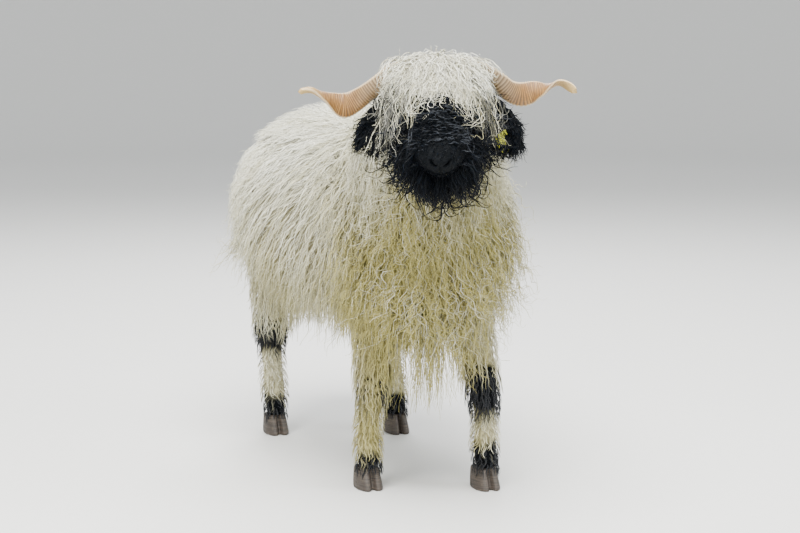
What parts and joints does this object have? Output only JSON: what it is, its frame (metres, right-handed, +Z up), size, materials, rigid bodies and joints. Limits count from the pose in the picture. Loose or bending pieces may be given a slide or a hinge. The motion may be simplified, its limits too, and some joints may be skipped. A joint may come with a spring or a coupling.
{
  "type": "valais blacknose sheep",
  "caption": "Life-size still model of a standing Valais blacknose ewe: long cream fleece, black face, ears and joints, spiral horns, head turned to her right.",
  "frame": {"origin": "on the floor under the middle of the animal's box", "axes": "+Z up, the animal's trunk lies along Y with its chest towards -Y and its tail towards +Y, its left side at +X"},
  "size_m": [0.6034, 1.3188, 0.9251],
  "materials": {
    "fleece": "long wavy cream wool, rough",
    "black_wool": "short curly black wool, rough",
    "horn": "ringed horn keratin, satin",
    "hoof": "dark horn, satin",
    "eye": "wet brown eye, glossy",
    "ear_tag": "yellow flexible plastic, satin"
  },
  "bodies": {
    "root": {"ear_left": "black_wool", "ear_right": "black_wool", "ear_tag": "ear_tag", "eye_left": "eye", "eye_right": "eye", "head": "black_wool", "hoof_front_left": "hoof", "hoof_front_right": "hoof", "hoof_hind_left": "hoof", "hoof_hind_right": "hoof", "horn_left": "horn", "horn_right": "horn", "leg_front_left": "fleece", "leg_front_right": "fleece", "leg_hind_left": "fleece", "leg_hind_right": "fleece", "neck": "fleece", "tail": "fleece", "torso": "fleece"}
  },
  "joints": []
}
